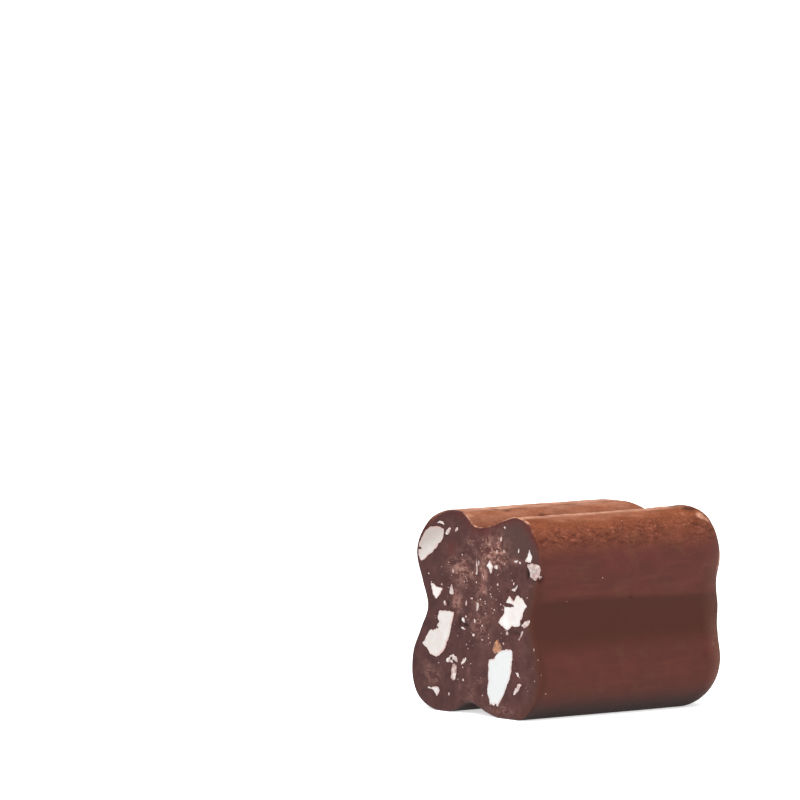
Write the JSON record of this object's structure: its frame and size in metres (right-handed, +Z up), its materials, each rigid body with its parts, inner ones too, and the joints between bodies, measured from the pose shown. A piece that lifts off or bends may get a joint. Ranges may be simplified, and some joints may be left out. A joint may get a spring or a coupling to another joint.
{
  "type": "chocolate truffle",
  "caption": "Four-lobed bar of dark chocolate and hazelnut paste, rounded at one end and sliced flat at the other, where pieces of blanched nut show.",
  "frame": {"origin": "middle of the bar's footprint, on the surface that it rests on", "axes": "+X along the bar from the cut face to the rounded end, +Y across it towards the far side, +Z up"},
  "size_m": [0.0279, 0.0225, 0.0223],
  "materials": {
    "chocolate": "matt dark chocolate and nut paste, dusted with cocoa on top",
    "hazelnut": "cut face of blanched hazelnut, ivory and slightly oily"
  },
  "bodies": {
    "root": {"truffle_paste": "chocolate", "nut_far_top": "hazelnut", "nut_far_low": "hazelnut", "nut_near_mid": "hazelnut", "nut_near_low": "hazelnut"}
  },
  "joints": []
}
